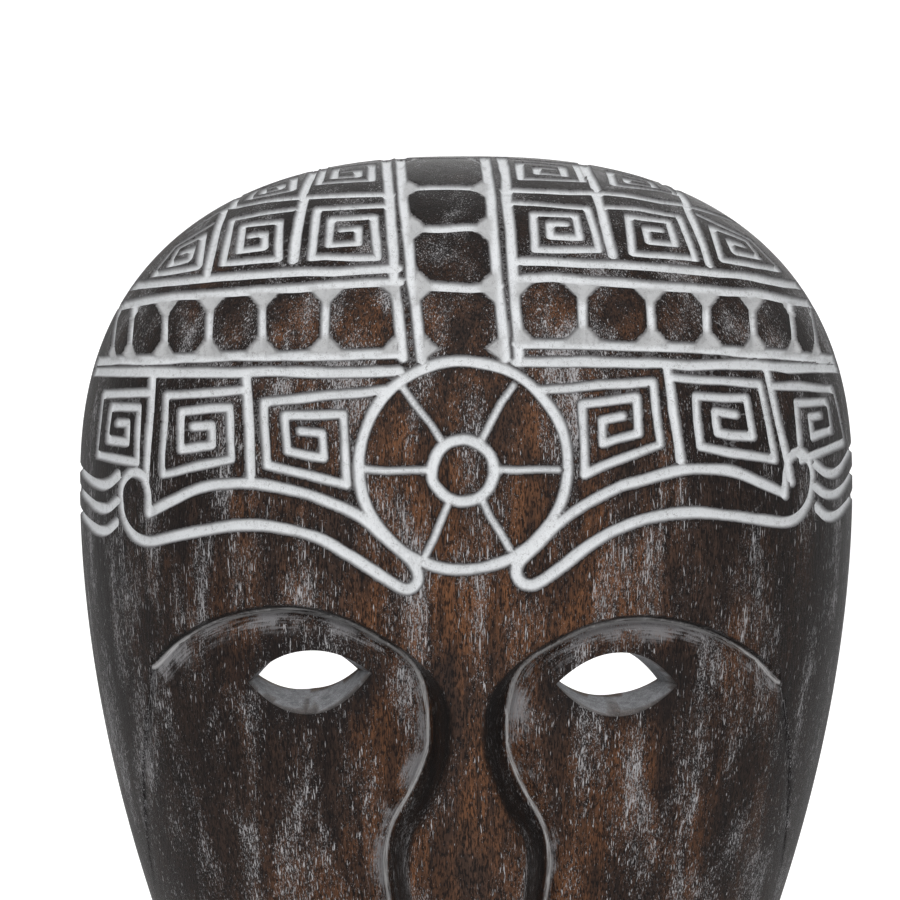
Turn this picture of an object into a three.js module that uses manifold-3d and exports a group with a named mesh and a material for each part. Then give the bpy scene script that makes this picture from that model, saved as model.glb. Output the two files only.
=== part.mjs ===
// A carved wooden wall mask: one hollowed block of light tropical hardwood with a domed forehead, two large
// eye sockets, a long nose and a small mouth, hung from two D-ring straps let into the flat back of its rim.
// Millimetres, +Z up. The face looks along -Y and the wall is the plane y = 0. The origin is the middle of
// the rim's flat back at the top of the mask.
import * as THREE from "three";
import { mergeVertices } from "three/addons/utils/BufferGeometryUtils.js";
import Module from "manifold-3d";

const wasm = await Module();
wasm.setup();

// Outline, measured from the widest level of the mask.
const HALF_WIDTH = 125;
const CROWN_RISE = 108;
const CHIN_DROP = 286;
const CROWN_POWER = 2.45; // squareness of the crown's outline
const CHIN_TAPER = 0.3; // how much the egg-shaped lower outline narrows
const CHIN_TAPER_POWER = 1.75;

// Depths, from the wall towards the face. A dome is deepest in the middle and falls to nothing at its outline.
const SIDE_LAND = 4; // straight side where the dome meets the flat back
const FOREHEAD = { depth: 105, power: 2.2 };
const CHEEKS = { depth: 98, power: 2.4 }; // flatter and lower, so they meet the sides in a soft crease
const HOLLOW_DOME = { depth: 88, power: 2.3 };
const RIM_SIDE = 24; // width of the flat back rim
const RIM_CROWN = 20;
const RIM_CHIN = 30;

// Face. Heights are measured from the widest level.
const NOSE = { height: 19, root: -40, tip: -150, base: -164, halfWidth: 30 };
const UPPER_LIP = { h: -200, height: 8, halfWidth: 25, halfRise: 8.5 };
const LOWER_LIP = { h: -217, height: 9, halfWidth: 21, halfRise: 8.5 };
const CHIN = { h: -251, height: 9, halfWidth: 30, halfRise: 18 };
const EYE = { x: 47.4, h: -53.6, halfWidth: 19, rise: 9, drop: 11, frontDepth: 96, backDepth: 79 };
const MOUTH = { x: 0, h: -208.5, halfWidth: 21, rise: 2.4, drop: 3, frontDepth: 86, backDepth: 78 };

// Hangers: a folded steel strap, a D-ring in its fold and two screws, in a shallow mortise.
const MORTISE = { inner: 104.5, outer: 120.5, above: 14, below: 32, depth: 5.2 };
const HANGER = { x: 112.5, h: 5 };
const STRAP = { width: 8, length: 29, sheet: 0.8, foldBore: 1.5 };
const RING = { wire: 1.2, halfBar: 4.4, halfWidth: 6.2, drop: 11 };
const RING_TILT = THREE.MathUtils.degToRad(4); // the hanging ring leans on its strap
const SCREW = { shank: 1.4, head: 2.6, headHeight: 1, length: 13, drops: [16, 24.5] };
const GAP = 0.3; // clearance between pieces that touch

const WIDEST_Z = RIM_CROWN / 2 - CROWN_RISE;
const OUTER = { halfWidth: HALF_WIDTH, up: CROWN_RISE, down: CHIN_DROP };
const HOLLOW = {
  halfWidth: HALF_WIDTH - RIM_SIDE,
  up: CROWN_RISE - RIM_CROWN,
  down: CHIN_DROP - RIM_CHIN,
};

// ---------------------------------------------------------------- surfaces

// How far (x, h) lies from the middle as a share of the outline: 0 at the middle, 1 on the outline.
function gauge(x, h, outline) {
  const across = Math.abs(x) / outline.halfWidth;
  if (h >= 0) return (across ** CROWN_POWER + (h / outline.up) ** CROWN_POWER) ** (1 / CROWN_POWER);
  const down = -h / outline.down;
  const reach = (share) => {
    const sine = Math.min(1, down / share);
    return share * Math.sqrt(1 - sine * sine) * (1 - CHIN_TAPER * sine ** CHIN_TAPER_POWER);
  };
  let low = down;
  let high = down + 2 * across + 1e-6;
  for (let i = 0; i < 60; i++) {
    const middle = (low + high) / 2;
    if (reach(middle) < across) low = middle;
    else high = middle;
  }
  return (low + high) / 2;
}

const dome = (share, { depth, power }) => depth * (1 - Math.min(1, share) ** power) ** (1 / power);

const mound = (x, h, { height, halfWidth, halfRise, h: middle }) =>
  height * Math.exp(-((x / halfWidth) ** 2) - ((h - middle) / halfRise) ** 2);

const mouthAndChin = (x, h) => mound(x, h, UPPER_LIP) + mound(x, h, LOWER_LIP) + mound(x, h, CHIN);

// The bridge rises evenly from the brow to the tip, rounds over, and ends at the base of the nose.
function nose(x, h) {
  const rise = THREE.MathUtils.clamp((NOSE.root - h) / (NOSE.root - NOSE.tip), 0, 1) ** 1.3;
  const fall = 1 - 0.35 * THREE.MathUtils.smoothstep(NOSE.tip - h, -6, NOSE.tip - NOSE.base);
  const across = Math.max(0, 1 - 0.5 * (x / NOSE.halfWidth) ** 2);
  return NOSE.height * rise * (h < NOSE.base ? 0 : fall) * across;
}

// Depth of the forehead and nose, of the cheeks, and of the hollow, at a point of the front view.
const foreheadDepth = (x, h, share) => SIDE_LAND + dome(share, FOREHEAD) + nose(x, h) + mouthAndChin(x, h);
const cheekDepth = (x, h, share) => SIDE_LAND + dome(share, CHEEKS) + mouthAndChin(x, h);
const hollowDepth = (x, h, share) => dome(share, HOLLOW_DOME);

// ---------------------------------------------------------------- solids

function solid(geometry) {
  const bare = geometry.clone();
  bare.deleteAttribute("normal");
  bare.deleteAttribute("uv");
  const merged = mergeVertices(bare, 1e-4);
  return new wasm.Manifold(
    new wasm.Mesh({
      numProp: 3,
      vertProperties: new Float32Array(merged.attributes.position.array),
      triVerts: new Uint32Array(merged.index.array),
    }),
  );
}

function geometryOf(manifold) {
  const mesh = manifold.getMesh();
  const geometry = new THREE.BufferGeometry();
  geometry.setAttribute("position", new THREE.BufferAttribute(mesh.vertProperties, 3));
  geometry.setIndex(new THREE.BufferAttribute(mesh.triVerts, 1));
  return geometry;
}

// Moves each vertex of a geometry.
function warp(geometry, move) {
  const position = geometry.attributes.position;
  const point = new THREE.Vector3();
  for (let i = 0; i < position.count; i++) {
    move(point.fromBufferAttribute(position, i));
    position.setXYZ(i, point.x, point.y, point.z);
  }
  return geometry;
}

// A dome over the outline: a box whose front face is bent to the depth and whose back face lies at backY.
function domeSolid(outline, depth, backY, columns, rows, crowding) {
  const box = new THREE.BoxGeometry(2, 2, 2, columns, rows, 1);
  const spread = (value) => Math.sign(value) * Math.abs(value) ** crowding;
  return solid(
    warp(box, (point) => {
      const s = spread(point.x);
      const t = point.y;
      const discX = s * Math.sqrt(1 - (t * t) / 2);
      const discH = t * Math.sqrt(1 - (s * s) / 2);
      const radius = Math.min(1, Math.hypot(discX, discH));
      const x = outline.halfWidth * discX;
      const h = (discH > 0 ? outline.up : outline.down) * discH;
      const share = Math.sin((Math.PI / 2) * radius);
      const scale = radius > 1e-9 ? share / gauge(x, h, outline) : 0;
      const front = -depth(x * scale, h * scale, share);
      point.set(x * scale, point.z > 0 ? front : backY, h * scale);
    }),
  );
}

// A shape of the front view as a prism between two depths.
function prism(shape, shallow, deep, steps = 1) {
  const geometry = new THREE.ExtrudeGeometry(shape, { depth: deep - shallow, bevelEnabled: false, steps });
  return warp(geometry, (point) => point.set(point.x, -shallow - point.z, point.y));
}

// An almond-shaped cut. Its corners and its lower side draw in towards the back, so the lower lid shows.
function almondCutter(opening, throughTo) {
  const almond = new THREE.Shape();
  const { halfWidth: w, rise, drop, frontDepth, backDepth } = opening;
  almond.moveTo(-w, 0);
  almond.bezierCurveTo(-0.5 * w, 1.3 * rise, 0.5 * w, 1.4 * rise, w, 0);
  almond.bezierCurveTo(0.5 * w, -1.35 * drop, -0.5 * w, -1.35 * drop, -w, 0);
  const layers = 4;
  return solid(
    warp(prism(almond, throughTo, frontDepth + 12, layers), (point) => {
      const share = THREE.MathUtils.clamp((-point.y - backDepth) / (frontDepth - backDepth), 0, 1.5);
      const narrow = THREE.MathUtils.lerp(0.77, 1, share);
      const low = point.z < 0 ? THREE.MathUtils.lerp(0.45, 1, share) : 1;
      point.set(opening.x + point.x * narrow, point.y, opening.h + point.z * low);
    }),
  );
}

// ---------------------------------------------------------------- the wooden face

// The brow arc, the side of the nose and the wing of the nostril, as one line from the temple to the lip.
const BROW_LINE = [
  [96.5, -52.5], [88, -44], [76, -37], [63, -33], [50, -32], [37, -34.5], [24, -40.5], [12.5, -49],
  [6.5, -57.5], [5, -66], [5.5, -76], [10.5, -88.5], [16.6, -100], [17.8, -109], [16.8, -118],
  [16.4, -128], [19, -138], [24, -147], [25.5, -154], [21, -161], [11, -163.5], [0, -164],
];
// Just outside the soft edge between the cheeks and the sides of the face, from the temple to the chin.
const CHEEK_LINE = [[96.5, -52.5], [101, -90], [98, -130], [90, -165], [77, -200], [58, -230], [32, -255], [0, -263]];

function socketShape() {
  const mirror = (points) => points.map(([x, h]) => [-x, h]);
  const spline = (points, divisions) =>
    new THREE.SplineCurve(points.map(([x, h]) => new THREE.Vector2(x, h))).getPoints(divisions);
  const brow = spline([...BROW_LINE, ...mirror(BROW_LINE).reverse().slice(1)], 96);
  const cheek = spline([...mirror(CHEEK_LINE), ...[...CHEEK_LINE].reverse().slice(1)], 48);
  return new THREE.Shape([...brow, ...cheek.slice(1, -1)]);
}

function carvedFace() {
  const forehead = domeSolid(OUTER, foreheadDepth, 0, 32, 48, 1.2);
  const cheeks = domeSolid(OUTER, cheekDepth, 0, 34, 66, 1.35);
  const above = solid(prism(socketShape(), 20, 140)).subtract(cheeks);
  const hollow = domeSolid(HOLLOW, hollowDepth, 6, 18, 26, 1);
  let face = forehead.subtract(above).subtract(hollow);
  for (const side of [-1, 1]) {
    face = face.subtract(almondCutter({ ...EYE, x: side * EYE.x }, EYE.backDepth - 14));
    face = face.subtract(mortise(side));
    for (const drop of SCREW.drops) face = face.subtract(pilotHole(side, drop));
  }
  return face.subtract(almondCutter(MOUTH, MOUTH.backDepth));
}

// ---------------------------------------------------------------- hangers

function mortise(side) {
  const { inner, outer, above, below, depth } = MORTISE;
  const box = new THREE.BoxGeometry(outer - inner, 2 * depth, above + below);
  box.translate((side * (inner + outer)) / 2, 0, HANGER.h + (above - below) / 2);
  return solid(box);
}

function pilotHole(side, drop) {
  const hole = new THREE.CylinderGeometry(SCREW.shank + GAP, SCREW.shank + GAP, 2 * SCREW.length, 12);
  hole.translate(side * HANGER.x, -MORTISE.depth, HANGER.h - drop);
  return solid(hole);
}

// Side view of the folded strip, in (out from the mortise floor, up from the ring's axis).
function strapGeometry() {
  const { width, length, sheet, foldBore } = STRAP;
  const axisY = sheet + foldBore;
  const fold = new THREE.Shape();
  fold.moveTo(0, -length);
  fold.lineTo(2 * sheet, -length);
  fold.lineTo(2 * sheet, -axisY - 1.2);
  fold.absarc(axisY, 0, axisY, THREE.MathUtils.degToRad(-50), THREE.MathUtils.degToRad(180), false);
  fold.lineTo(0, -length);
  const bore = new THREE.Path();
  bore.absarc(axisY, 0, foldBore, 0, 2 * Math.PI, true);
  fold.holes.push(bore);
  const strip = new THREE.ExtrudeGeometry(fold, { depth: width, bevelEnabled: false, curveSegments: 14 });
  strip.translate(0, 0, -width / 2);
  strip.applyMatrix4(new THREE.Matrix4().set(0, 0, 1, 0, 1, 0, 0, 0, 0, 1, 0, 0, 0, 0, 0, 1));
  let strap = solid(strip);
  for (const drop of SCREW.drops) {
    const hole = new THREE.CylinderGeometry(SCREW.shank + GAP, SCREW.shank + GAP, 10, 16);
    hole.translate(0, 0, -drop);
    strap = strap.subtract(solid(hole));
  }
  return geometryOf(strap);
}

// Wire bent to a D. Its ends meet inside the strap's fold.
function ringGeometry() {
  const { wire, halfBar, halfWidth, drop } = RING;
  const at = ([x, down]) => new THREE.Vector3(x, 0, -down);
  const corner = halfWidth - halfBar;
  const bow = [[halfBar, 0], [halfWidth - 0.3 * corner, 0.5], [halfWidth, 1.7]];
  for (const turn of [0.15, 0.45, 0.72]) {
    const angle = (turn * Math.PI) / 2;
    bow.push([halfWidth * Math.cos(angle), 3.2 + (drop - 3.2) * Math.sin(angle)]);
  }
  const mirrored = bow.map(([x, down]) => [-x, down]).reverse();
  const path = new THREE.CurvePath();
  path.add(new THREE.LineCurve3(at([0.2, 0]), at(bow[0])));
  path.add(new THREE.CatmullRomCurve3([...bow, [0, drop], ...mirrored].map(at)));
  path.add(new THREE.LineCurve3(at(mirrored.at(-1)), at([-0.2, 0])));
  const section = new THREE.Shape().absarc(0, 0, wire, 0, 2 * Math.PI, false);
  return new THREE.ExtrudeGeometry(section, { extrudePath: path, steps: 40, curveSegments: 5, bevelEnabled: false });
}

// A wood screw along Y: a low domed head with a cross recess, a plain shank and a point.
function screwGeometry() {
  const { shank, head, headHeight, length } = SCREW;
  const profile = [
    [0, -length], [0.5 * shank, -length + 1.8], [shank, -length + 4.5], [shank, GAP], [head, GAP],
    [head, 0.35 * headHeight], [0.72 * head, 0.85 * headHeight], [0, headHeight],
  ].map(([radius, height]) => new THREE.Vector2(radius, height));
  let screw = solid(new THREE.LatheGeometry(profile, 16));
  for (const [wide, deep] of [[2.6, 0.5], [0.5, 2.6]]) {
    screw = screw.subtract(solid(new THREE.BoxGeometry(wide, 1, deep).translate(0, headHeight, 0)));
  }
  return geometryOf(screw);
}

// ---------------------------------------------------------------- assembly

const wood = new THREE.MeshStandardMaterial({ color: 0x4a3a30, roughness: 0.7, metalness: 0 });
const zinc = new THREE.MeshStandardMaterial({ color: 0xa8a9a6, roughness: 0.35, metalness: 1 });

const mask = new THREE.Group();
mask.position.z = WIDEST_Z;

function add(name, geometry, material, x = 0, y = 0, h = 0) {
  const mesh = new THREE.Mesh(geometry, material);
  mesh.name = name;
  mesh.position.set(x, y, h);
  mask.add(mesh);
  return mesh;
}

add("mask_face", geometryOf(carvedFace()), wood);

const floorY = -MORTISE.depth + GAP;
const ringAxisY = floorY + STRAP.sheet + STRAP.foldBore;
for (const [label, side] of [["left", -1], ["right", 1]]) {
  const x = side * HANGER.x;
  add(`hanger_strap_${label}`, strapGeometry(), zinc, x, floorY, HANGER.h);
  add(`d_ring_${label}`, ringGeometry(), zinc, x, ringAxisY, HANGER.h).rotation.x = RING_TILT;
  SCREW.drops.forEach((drop, i) => {
    const place = i ? "lower" : "upper";
    add(`screw_${label}_${place}`, screwGeometry(), zinc, x, floorY + 2 * STRAP.sheet, HANGER.h - drop);
  });
}

const part = new THREE.Group();
part.add(mask);

export default part;
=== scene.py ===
# %% [markdown]
# # A carved wooden wall mask
# One block of light tropical timber: domed on the face, hollowed behind, carved with a gouge, stained dark
# brown and rubbed with white wash. Two D-ring straps behind the rim hang it on a wall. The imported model
# gives the sizes, and each cell below makes one piece or one finish.

# %% The frame
import math
import bmesh
import bpy
import numpy as np
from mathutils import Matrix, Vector


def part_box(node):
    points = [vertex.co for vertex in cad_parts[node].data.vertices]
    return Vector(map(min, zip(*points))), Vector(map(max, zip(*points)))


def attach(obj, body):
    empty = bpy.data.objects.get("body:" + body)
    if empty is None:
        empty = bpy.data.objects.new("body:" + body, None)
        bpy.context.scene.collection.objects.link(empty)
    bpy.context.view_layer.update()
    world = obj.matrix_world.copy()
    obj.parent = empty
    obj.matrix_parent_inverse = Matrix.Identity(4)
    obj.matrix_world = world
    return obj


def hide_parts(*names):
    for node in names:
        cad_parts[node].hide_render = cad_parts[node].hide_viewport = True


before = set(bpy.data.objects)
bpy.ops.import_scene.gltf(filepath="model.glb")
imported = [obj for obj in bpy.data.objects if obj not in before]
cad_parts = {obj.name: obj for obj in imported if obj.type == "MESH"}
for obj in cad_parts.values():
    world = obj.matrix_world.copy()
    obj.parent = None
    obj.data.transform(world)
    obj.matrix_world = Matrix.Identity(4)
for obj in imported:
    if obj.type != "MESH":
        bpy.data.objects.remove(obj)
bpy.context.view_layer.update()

MASK = "mask"
print("nodes:", sorted(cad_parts))

# %% [markdown]
# ## Camera
# The mask is looked at straight on and a touch from above, from far enough away that its nose doesn't
# swell. The view takes in the forehead and the eyes.

# %% Camera
face_low, face_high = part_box("mask_face")
mm = (face_high[0] - face_low[0]) / 250  # the mask is laid out on a width of 250 mm
crown_top = face_high[2]
print(f"one layout millimetre is {mm * 1000:.4f} mm")

VIEW_DISTANCE = 1100 * mm
VIEW_WIDTH = 283.9 * mm
VIEW_ELEVATION = math.radians(2)
aim = Vector((-5.2 * mm, -40 * mm, crown_top - 94 * mm))


def add_object(name, data):
    made = bpy.data.objects.new(name, data)
    bpy.context.scene.collection.objects.link(made)
    return made


camera_data = bpy.data.cameras.new("camera")
camera_data.lens = camera_data.sensor_width * VIEW_DISTANCE / VIEW_WIDTH
camera = add_object("camera", camera_data)
look_back = Vector((0, -math.cos(VIEW_ELEVATION), math.sin(VIEW_ELEVATION)))
camera.location = aim + look_back * VIEW_DISTANCE
camera.rotation_euler = look_back.to_track_quat("Z", "Y").to_euler()
bpy.context.scene.camera = camera

# %% [markdown]
# ## The outline and the domes
# The outline is a squarish arch above the widest level and a tapering egg below it. Every dome of the mask
# is one rule: how deep it is in the middle, and how it falls to nothing at its outline. `gauge` says how far
# a point lies from the middle as a share of the outline, 0 in the middle and 1 on the outline.

# %% Outline and domes, in layout millimetres from the widest level
HALF_WIDTH, CROWN_RISE, CHIN_DROP = 125.0, 108.0, 286.0
CROWN_POWER, CHIN_TAPER, CHIN_TAPER_POWER = 2.45, 0.3, 1.75
RIM_SIDE, RIM_CROWN, RIM_CHIN = 24.0, 20.0, 30.0
SIDE_LAND = 4.0
WIDEST_Z = crown_top - CROWN_RISE * mm
FOREHEAD, CHEEKS, LINING = (105, 2.2), (98, 2.4), (88, 2.3)  # each dome's depth and squareness
OUTER = (HALF_WIDTH, CROWN_RISE, CHIN_DROP)
HOLLOW = (HALF_WIDTH - RIM_SIDE, CROWN_RISE - RIM_CROWN, CHIN_DROP - RIM_CHIN)


def gauge(x, h, outline):
    half_width, up, down = outline
    across = np.abs(x) / half_width
    above = (across**CROWN_POWER + (np.maximum(h, 0) / up) ** CROWN_POWER) ** (1 / CROWN_POWER)
    drop = np.maximum(-h, 0) / down
    low, high = drop.copy(), drop + 2 * across + 1e-6
    for _ in range(40):
        middle = (low + high) / 2
        sine = np.minimum(1, drop / np.maximum(middle, 1e-9))
        reach = middle * np.sqrt(1 - sine**2) * (1 - CHIN_TAPER * sine**CHIN_TAPER_POWER)
        low = np.where(reach < across, middle, low)
        high = np.where(reach < across, high, middle)
    return np.where(h >= 0, above, (low + high) / 2)


def dome(share, depth, power):
    return depth * (1 - np.minimum(1, share) ** power) ** (1 / power)


def smooth(low, high, value):
    """0 below low, 1 above high, an S curve between."""
    t = np.clip((value - low) / (high - low), 0, 1)
    return t * t * (3 - 2 * t)


# %% [markdown]
# ## The face
# The forehead and the nose are one dome, the cheeks a flatter one a few millimetres behind it, so they
# meet the sides in a soft crease. Where the eye sockets begin, a stop cut runs along the brow and down the
# side of the nose: a steep wall, a narrow bottom, and the worn lip of the cheek.

# %% Brow line, nose, lips and chin
BROW_LINE = [
    (96.5, -52.5), (88, -44), (76, -37), (63, -33), (50, -32), (37, -34.5), (24, -40.5), (12.5, -49),
    (6.5, -57.5), (5, -66), (5.5, -76), (10.5, -88.5), (16.6, -100), (17.8, -109), (16.8, -118),
    (16.4, -128), (19, -138), (24, -147), (25.5, -154), (21, -161), (11, -163.5), (0, -164),
]
CHEEK_LINE = [
    (96.5, -52.5), (101, -90), (98, -130), (90, -165), (77, -200), (58, -230), (32, -255), (0, -263),
]


def spline(points, steps=8):
    """A Catmull-Rom curve through the points."""
    points = np.asarray(points, float)
    padded = np.vstack([2 * points[0] - points[1], points, 2 * points[-1] - points[-2]])
    t = np.linspace(0, 1, steps, endpoint=False)[:, None]
    pieces = []
    for a, b, c, d in zip(padded, padded[1:], padded[2:], padded[3:]):
        pieces.append(0.5 * (2 * b + (c - a) * t + (2 * a - 5 * b + 4 * c - d) * t**2
                             + (3 * b - a - 3 * c + d) * t**3))
    return np.vstack([*pieces, points[-1:]])


def nearest_on(line, x, h):
    """For each point, its distance to an open line and how far along the line that is."""
    best, place, walked = np.full(x.shape, 1e9), np.zeros(x.shape), 0.0
    for (ax, ah), (bx, bh) in zip(line, line[1:]):
        dx, dh = bx - ax, bh - ah
        length = max(math.hypot(dx, dh), 1e-6)
        share = np.clip(((x - ax) * dx + (h - ah) * dh) / length**2, 0, 1)
        away = np.hypot(x - ax - share * dx, h - ah - share * dh)
        place = np.where(away < best, walked + share * length, place)
        best = np.minimum(best, away)
        walked += length
    return best, place


def inside(line, x, h):
    """True for the points inside a closed line."""
    odd = np.zeros(x.shape, bool)
    for (ax, ah), (bx, bh) in zip(line, np.roll(line, -1, axis=0)):
        if ah != bh:
            crosses = ((ah > h) != (bh > h)) & (x < ax + (h - ah) * (bx - ax) / (bh - ah))
            odd ^= crosses
    return odd


brow_line = spline(BROW_LINE)
cheek_line = spline(CHEEK_LINE)
socket = np.vstack([brow_line, [(-5.0, -164.0), (-5.0, -263.0)], cheek_line[::-1]])

LIP_DROP, LIP_ROUND, CREASE_DEPTH = 3.0, 6.0, 1.0
CUT_WIDTH, CUT_WIDTH_BY_NOSE = 1.3, 6.5
CUT_EDGE = 0.2  # how far the cut's soft edge reaches outwards, as a share of its width
BROW_LEAN = 0.028  # the right brow sits a little lower than the left
NOSE_HEIGHT, NOSE_ROOT, NOSE_TIP, NOSE_BASE, NOSE_HALF_WIDTH = 19.0, -40.0, -150.0, -164.0, 30.0
MOUNDS = [  # level, rise, half width and half height of the upper lip, the lower lip and the chin
    (-200, 8, 25, 8.5), (-217, 9, 21, 8.5), (-251, 9, 30, 18),
]


def nose(x, h):
    rise = np.clip((NOSE_ROOT - h) / (NOSE_ROOT - NOSE_TIP), 0, 1) ** 1.3
    fall = 1 - 0.35 * smooth(-6, NOSE_TIP - NOSE_BASE, NOSE_TIP - h)
    across = np.maximum(0, 1 - 0.5 * (x / NOSE_HALF_WIDTH) ** 2)
    return NOSE_HEIGHT * rise * np.where(h < NOSE_BASE, 0, fall) * across


def mouth_and_chin(x, h):
    return sum(rise * np.exp(-((x / wide) ** 2) - ((h - level) / tall) ** 2)
               for level, rise, wide, tall in MOUNDS)


def socket_place(x, h):
    """How far inside the stop cut a point lies (negative outside), the cut's width, and its place along."""
    across = np.abs(x)
    h = h + BROW_LEAN * x * smooth(-75, -50, h)
    away, along = nearest_on(brow_line, across, h)
    away = np.where(inside(socket, across, h), away, -away)
    by_nose = (1 - smooth(-64, -44, h)) * (1 - smooth(34, 50, across)) * (0.5 + 0.5 * smooth(-158, -150, h))
    return away, CUT_WIDTH + (CUT_WIDTH_BY_NOSE - CUT_WIDTH) * by_nose, along


def face_depth(x, h, share):
    forehead = SIDE_LAND + dome(share, *FOREHEAD) + nose(x, h) + mouth_and_chin(x, h)
    cheek = SIDE_LAND + dome(share, *CHEEKS) + mouth_and_chin(x, h)
    cheek = np.minimum(cheek, forehead)
    away, wall, _ = socket_place(x, h)
    bite = LIP_DROP * (1 - 0.8 * smooth(78, 97, np.abs(x)))
    rounding = np.clip(1 - (away - wall) / LIP_ROUND, 0, 1) ** 2.2
    lip = cheek - bite * rounding
    crease, down = nearest_on(cheek_line, np.abs(x), h)
    lip = lip - CREASE_DEPTH * np.exp(-((crease / 1.4) ** 2)) * (1 - smooth(30, 90, down))
    sunk = forehead + (lip - forehead) * smooth(-CUT_EDGE, 1, away / wall)
    return np.where(away > -CUT_EDGE * wall, sunk, forehead)


# %% [markdown]
# ## The block
# A square sheet of faces is bent over the outline like a cloth over a bowl, finest where the carving will
# go. A coarser copy lines the hollow, and flat faces close the rim between them, so the block is one closed
# shell from the start. Arrays are quicker and more even than sculpting.

# %% A closed shell
COLUMNS = 402
ROWS_BELOW, ROWS_EYES, ROWS_ABOVE = ((120, 72, 234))
EYE_LEVEL = -0.14  # rows crowd together from here up to the widest level
BACK_STEP = 3  # the lining takes every third row and column, so all the counts divide by it
s_steps = np.linspace(-1, 1, COLUMNS + 1)
t_steps = np.concatenate([
    np.linspace(-1, EYE_LEVEL, ROWS_BELOW, endpoint=False),
    np.linspace(EYE_LEVEL, 0, ROWS_EYES, endpoint=False),
    np.linspace(0, 1, ROWS_ABOVE + 1),
])


def sheet_points(s_values, t_values, outline, depth_of):
    s, t = np.meshgrid(s_values, t_values)
    disc_x, disc_h = s * np.sqrt(1 - t * t / 2), t * np.sqrt(1 - s * s / 2)
    share = np.sin(np.pi / 2 * np.minimum(1, np.hypot(disc_x, disc_h)))
    x = outline[0] * disc_x
    h = np.where(disc_h > 0, outline[1], outline[2]) * disc_h
    scale = share / np.maximum(gauge(x, h, outline), 1e-9)
    x, h = x * scale, h * scale
    return np.stack([x, -depth_of(x, h, share), h], -1)


def sheet_faces(rows, columns, first=0):
    index = first + np.arange(rows * columns).reshape(rows, columns)
    return np.stack([index[:-1, :-1], index[:-1, 1:], index[1:, 1:], index[1:, :-1]], -1).reshape(-1, 4)


def border(rows, columns, first=0):
    """The border of a sheet, counter-clockwise from its lowest corner."""
    index = first + np.arange(rows * columns).reshape(rows, columns)
    return np.concatenate([index[0, :-1], index[:-1, -1], index[-1, :0:-1], index[:0:-1, 0]])


front = sheet_points(s_steps, t_steps, OUTER, face_depth)
back = sheet_points(s_steps[::BACK_STEP], t_steps[::BACK_STEP], HOLLOW,
                    lambda x, h, share: dome(share, *LINING))
rows, columns = front.shape[:2]
back_rows, back_columns = back.shape[:2]
front_border = border(rows, columns)
front_flat = front.reshape(-1, 3)
print("face sheet:", rows, "by", columns, "points; lining:", back_rows, "by", back_columns)

# %% [markdown]
# The rim. The side of the block runs straight back from the face, turns over a small rounded edge, and the
# flat back closes on the lining. Each ring below is one step of that turn.

# %% The rim
EDGE_ROUND = 1.0
RIM_MIDDLE = np.array([0, 0, -60.0])
rings = []
for inset, depth in ((0.0, 2.6), (0.0, EDGE_ROUND), (0.3 * EDGE_ROUND, 0.3 * EDGE_ROUND), (EDGE_ROUND, 0.0)):
    ring = front_flat[front_border].copy()
    inward = RIM_MIDDLE - ring
    inward[:, 1] = 0
    ring += inset * inward / np.linalg.norm(inward, axis=1)[:, None]
    ring[:, 1] = -depth
    rings.append(ring)
points = [front_flat, *rings]
faces = [list(face) for face in sheet_faces(rows, columns)]
previous, first = front_border, len(front_flat)
for ring in rings:
    current = first + np.arange(len(ring))
    for i in range(len(ring)):
        j = (i + 1) % len(ring)
        faces.append([previous[j], previous[i], current[i], current[j]])
    previous, first = current, first + len(ring)
points.append(back.reshape(-1, 3))
faces += [list(face[::-1]) for face in sheet_faces(back_rows, back_columns, first)]
back_border = border(back_rows, back_columns, first)
for i in range(len(back_border)):
    j = (i + 1) % len(back_border)
    outer = [previous[k % len(previous)] for k in range(BACK_STEP * i, BACK_STEP * (i + 1) + 1)]
    faces.append([*outer[::-1], back_border[i], back_border[j]])


def to_row(layout_points):
    """Layout millimetres to metres in the model's frame."""
    return np.asarray(layout_points, float) * mm + [0, 0, WIDEST_Z]


def new_mesh_object(name, layout_points, polygons, edges=()):
    mesh = bpy.data.meshes.new(name)
    mesh.from_pydata(to_row(layout_points).tolist(), list(edges), [list(map(int, p)) for p in polygons])
    return add_object(name, mesh)


block = new_mesh_object("carved_face", np.vstack(points), faces)
print("block:", len(block.data.vertices), "points,", len(block.data.polygons), "faces")

# %% [markdown]
# ## Openings
# The eyes are cut right through, wider at the front than behind, and the lower lid slopes inwards. The
# mouth is a shallow slit. Behind, each side of the rim has a mortise for a hanger and two pilot holes. Each
# cutter is a closed solid, and a Boolean takes it out of the block.


# %% Cutters
BACK_WIDTH, BACK_DROP = 0.79, 0.45  # an eye's width and lower lid behind, as shares of those in front
ALMOND_POWER = 2.1
CLEAR_OF_FACE = 14


def almond_cutter(name, x, h, half_width, rise, drop, front_depth, back_depth, through_to, tilt=0.0,
                  lean=0.0):
    """Rings of an almond from back to front, drawn in towards the back, closed at both ends."""
    turn = np.linspace(0, np.pi, 41)
    arch = np.stack([-np.cos(turn), 1 - np.abs(np.cos(turn)) ** ALMOND_POWER], -1)
    upper = arch * [half_width, rise]
    lower = arch[::-1][1:-1] * [half_width, -drop]
    depths = np.linspace(through_to, front_depth + CLEAR_OF_FACE, 13)
    rings = []
    for depth in depths:
        share = np.clip((depth - back_depth) / (front_depth - back_depth), 0, 1.6)
        narrow, low = BACK_WIDTH + (1 - BACK_WIDTH) * share, BACK_DROP + (1 - BACK_DROP) * share
        outline = np.vstack([upper, lower * [1, low]]) * [narrow, 1]
        rings.append([(x + px + lean * (1 - share), -depth, h + ph + tilt * px) for px, ph in outline])
    return loft(name, rings)


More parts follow.
